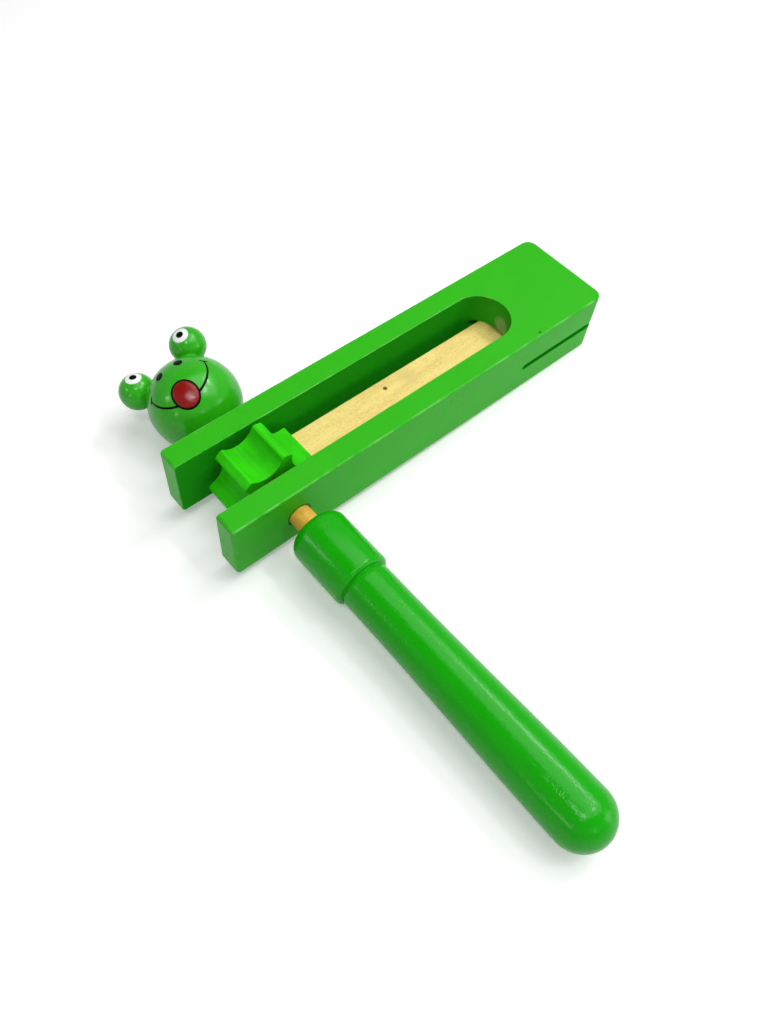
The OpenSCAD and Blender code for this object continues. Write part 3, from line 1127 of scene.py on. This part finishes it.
class RATTLE_OT_face(Operator):
    """Paint the face: nostrils, smile, tongue and eyes"""
    bl_idname = "rattle.face"
    bl_label = "Painted face"

    def execute(self, context):
        settings = context.scene.rattle_face
        even = lines_along("X", along=300, across=300)
        paints = {}
        for tone in ("white", "black", "red"):
            coat_settings = getattr(context.scene, "rattle_" + tone)
            paints[tone] = paint_material(tone + "_paint", coat_settings, coat_settings.paint, even)
        axes = face_axes(settings)
        up = axes[1]

        def mark(name, tone, bm):
            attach(piece(name, bm, paints[tone]), "handle")

        def dot(name, tone, ball, radius, toward, half_w, half_h, coats):
            film = coats * settings.film
            mark(name, tone, spot_mesh(ball, radius, toward, up, half_w, half_h, film, settings.root))

        def head_dot(name, tone, side, rise, half_w, half_h, coats=1):
            dot(name, tone, HEAD_MIDDLE, HEAD_R, look(axes, side, rise), half_w, half_h, coats)

        def line(name, path, width, coats):
            mark(name, "black", stroke_mesh(axes, path, width, coats * settings.film, settings.root))

        def smile_width(share):
            return settings.smile_w * (1 - settings.smile_taper * share ** 2)

        def tick_width(share):
            swell = 4 * share * (1 - share)
            return settings.tick_w * (settings.tick_end + (1 - settings.tick_end) * swell)

        tongue = settings.tongue_side, settings.tongue_rise
        half_w, half_h = settings.tongue_half_w, settings.tongue_half_h
        head_dot("tongue_outline", "black", *tongue, half_w, half_h)
        head_dot("tongue", "red", *tongue, half_w - settings.outline, half_h - settings.outline, coats=2)
        for side, label in ((1, "left"), (-1, "right")):
            head_dot(
                "nostril_" + label, "black", side * settings.nostril_side, settings.nostril_rise,
                settings.nostril_half_w, settings.nostril_half_h,
            )
            line("smile_" + label, smile_path(settings, side), smile_width, coats=1)
            line("smile_tick_" + label, tick_path(settings, side), tick_width, coats=1.5)
            gaze = look(
                axes, getattr(settings, f"gaze_{label}_side") - settings.turn,
                getattr(settings, f"gaze_{label}_rise"),
            )
            eye = EYE_MIDDLES[label], EYE_R, gaze
            dot("eye_white_" + label, "white", *eye, settings.white_r, settings.white_r, coats=1)
            dot("pupil_" + label, "black", *eye, settings.pupil_r, settings.pupil_r, coats=2)
        return {"FINISHED"}


class RATTLE_OT_stage(Operator):
    """Set the camera, the lamps, the pale floor and the white surroundings"""
    bl_idname = "rattle.stage"
    bl_label = "Stage"

    def execute(self, context):
        settings = context.scene.rattle_stage
        context.scene.view_settings.view_transform = "Standard"
        self.place_camera(context.scene, settings)
        self.place_lamps(context.scene, settings)
        self.lay_floor(context.scene, settings)
        self.light_world(context.scene, settings)
        return {"FINISHED"}

    def place_camera(self, scene, settings):
        at = Vector(settings.camera_at)
        ahead = Vector(settings.camera_aim) - at
        camera = bpy.data.objects.new("camera", bpy.data.cameras.new("camera"))
        camera.data.lens = settings.lens
        camera.data.sensor_width = SENSOR
        camera.data.clip_start = NEAREST
        roll = Matrix.Rotation(-settings.camera_roll, 4, Z_AXIS)
        camera.matrix_world = aimed(at, ahead, "-Z") @ roll
        scene.collection.objects.link(camera)
        scene.camera = camera

    def place_lamps(self, scene, settings):
        aim = Vector(settings.camera_aim)
        for name, (way, width, height, watts) in LAMPS.items():
            lamp = bpy.data.objects.new(name, bpy.data.lights.new(name, "AREA"))
            lamp.data.energy = watts
            lamp.data.shape = "RECTANGLE"
            lamp.data.size = width
            lamp.data.size_y = height
            toward = Vector(way).normalized()
            lamp.matrix_world = aimed(aim + toward * settings.lamp_away, toward)
            scene.collection.objects.link(lamp)

    def lay_floor(self, scene, settings):
        """The floor touches the wheel, the handle's end and the frame's tail"""
        wheel = Vector((0, WHEEL_LOW.y, WHEEL_LOW.z))
        belly_r = scene.rattle_handle.belly_r
        grip = Vector((0, HANDLE_LOW.y + belly_r, -belly_r))
        tail = Vector((BLOCK_HIGH.x, BLOCK_LOW.y, BLOCK_LOW.z))
        up = (tail - grip).cross(wheel - grip).normalized()
        bm = bmesh.new()
        bmesh.ops.create_grid(
            bm, x_segments=1, y_segments=1, size=settings.floor_size / 2,
            matrix=aimed(grip - up * settings.floor_gap, up),
        )
        mesh = bpy.data.meshes.new("floor")
        bm.to_mesh(mesh)
        bm.free()
        floor = bpy.data.objects.new("floor", mesh)
        scene.collection.objects.link(floor)

        material, recipe, shader, place = new_material("floor")
        cloud = recipe.noise(place, scale=30, detail=3)
        tone = recipe.span(cloud, low=0.3, high=0.7, to_low=0.97, to_high=1)
        recipe.feed(shader.inputs["Base Color"], recipe.scale(settings.floor, tone))
        shader.inputs["Roughness"].default_value = settings.floor_sheen
        shader.inputs["Specular IOR Level"].default_value = settings.floor_shine
        strength = self.seen(recipe, lit=0, shown=settings.floor_glow)
        glow = recipe.add("Emission", {"Color": WHITE, "Strength": strength})
        both = recipe.add("AddShader", {0: shader.outputs[0], 1: glow.outputs[0]})
        out = next(node for node in material.node_tree.nodes if node.type == "OUTPUT_MATERIAL")
        recipe.feed(out.inputs["Surface"], both.outputs[0])
        mesh.materials.append(material)

    def seen(self, recipe, lit, shown):
        """A strength for light, and another where the eye or a reflection sees the surface"""
        path = recipe.add("LightPath").outputs
        eye = recipe.maths("MAXIMUM", path["Is Camera Ray"], path["Is Transmission Ray"])
        eye = recipe.total((eye, 1), (path["Is Glossy Ray"], MIRRORED))
        # The node has sockets for each kind of data: its numbers are inputs 2 and 3
        return recipe.add("Mix", {0: eye, 2: lit, 3: shown}, data_type="FLOAT").outputs[0]

    def light_world(self, scene, settings):
        world = bpy.data.worlds.new("studio")
        world.use_nodes = True
        scene.world = world
        recipe = Recipe(world.node_tree)
        shader = world.node_tree.nodes["Background"]
        shader.inputs["Color"].default_value = WHITE
        way = recipe.add("TexCoord").outputs["Generated"]
        height = recipe.add("SeparateXYZ", {"Vector": way}).outputs["Z"]
        # The white thins out overhead, so that paint which mirrors it keeps its colour
        sky = recipe.span(height, low=0.5, high=0.95, to_low=1, to_high=0.15)
        strength = self.seen(recipe, lit=settings.world_light, shown=sky)
        recipe.feed(shader.inputs["Strength"], strength)


class RATTLE_PT_build(Panel):
    """Builds the rattle's pieces and the stage"""
    bl_label = "Ratchet rattle"
    bl_idname = "RATTLE_PT_build"
    bl_space_type = "VIEW_3D"
    bl_region_type = "UI"
    bl_category = "Rattle"

    def draw(self, context):
        for operator in OPERATORS:
            self.layout.operator(operator.bl_idname)
        for name, settings in SETTINGS.items():
            column = self.layout.box().column()
            column.label(text=settings.__doc__)
            for key in settings.__annotations__:
                column.prop(getattr(context.scene, name), key)


SETTINGS = {
    "rattle_frame": FrameSettings,
    "rattle_reed": ReedSettings,
    "rattle_wheel": WheelSettings,
    "rattle_dowel": DowelSettings,
    "rattle_handle": HandleSettings,
    "rattle_head": HeadSettings,
    "rattle_face": FaceSettings,
    "rattle_white": WhiteSettings,
    "rattle_black": BlackSettings,
    "rattle_red": RedSettings,
    "rattle_stage": StageSettings,
}
OPERATORS = (
    RATTLE_OT_frame_block,
    RATTLE_OT_reed,
    RATTLE_OT_wheel,
    RATTLE_OT_dowels,
    RATTLE_OT_handle,
    RATTLE_OT_head,
    RATTLE_OT_face,
    RATTLE_OT_stage,
)


def register():
    for name, settings in SETTINGS.items():
        bpy.utils.register_class(settings)
        setattr(bpy.types.Scene, name, PointerProperty(type=settings))
    for operator in OPERATORS:
        bpy.utils.register_class(operator)
    bpy.utils.register_class(RATTLE_PT_build)


def unregister():
    bpy.utils.unregister_class(RATTLE_PT_build)
    for operator in reversed(OPERATORS):
        bpy.utils.unregister_class(operator)
    for name, settings in reversed(SETTINGS.items()):
        delattr(bpy.types.Scene, name)
        bpy.utils.unregister_class(settings)


def main():
    register()
    bpy.ops.rattle.frame_block()
    bpy.ops.rattle.reed()
    bpy.ops.rattle.wheel()
    bpy.ops.rattle.dowels()
    bpy.ops.rattle.handle()
    bpy.ops.rattle.head()
    bpy.ops.rattle.face()
    bpy.ops.rattle.stage()


if __name__ == "__main__":
    main()
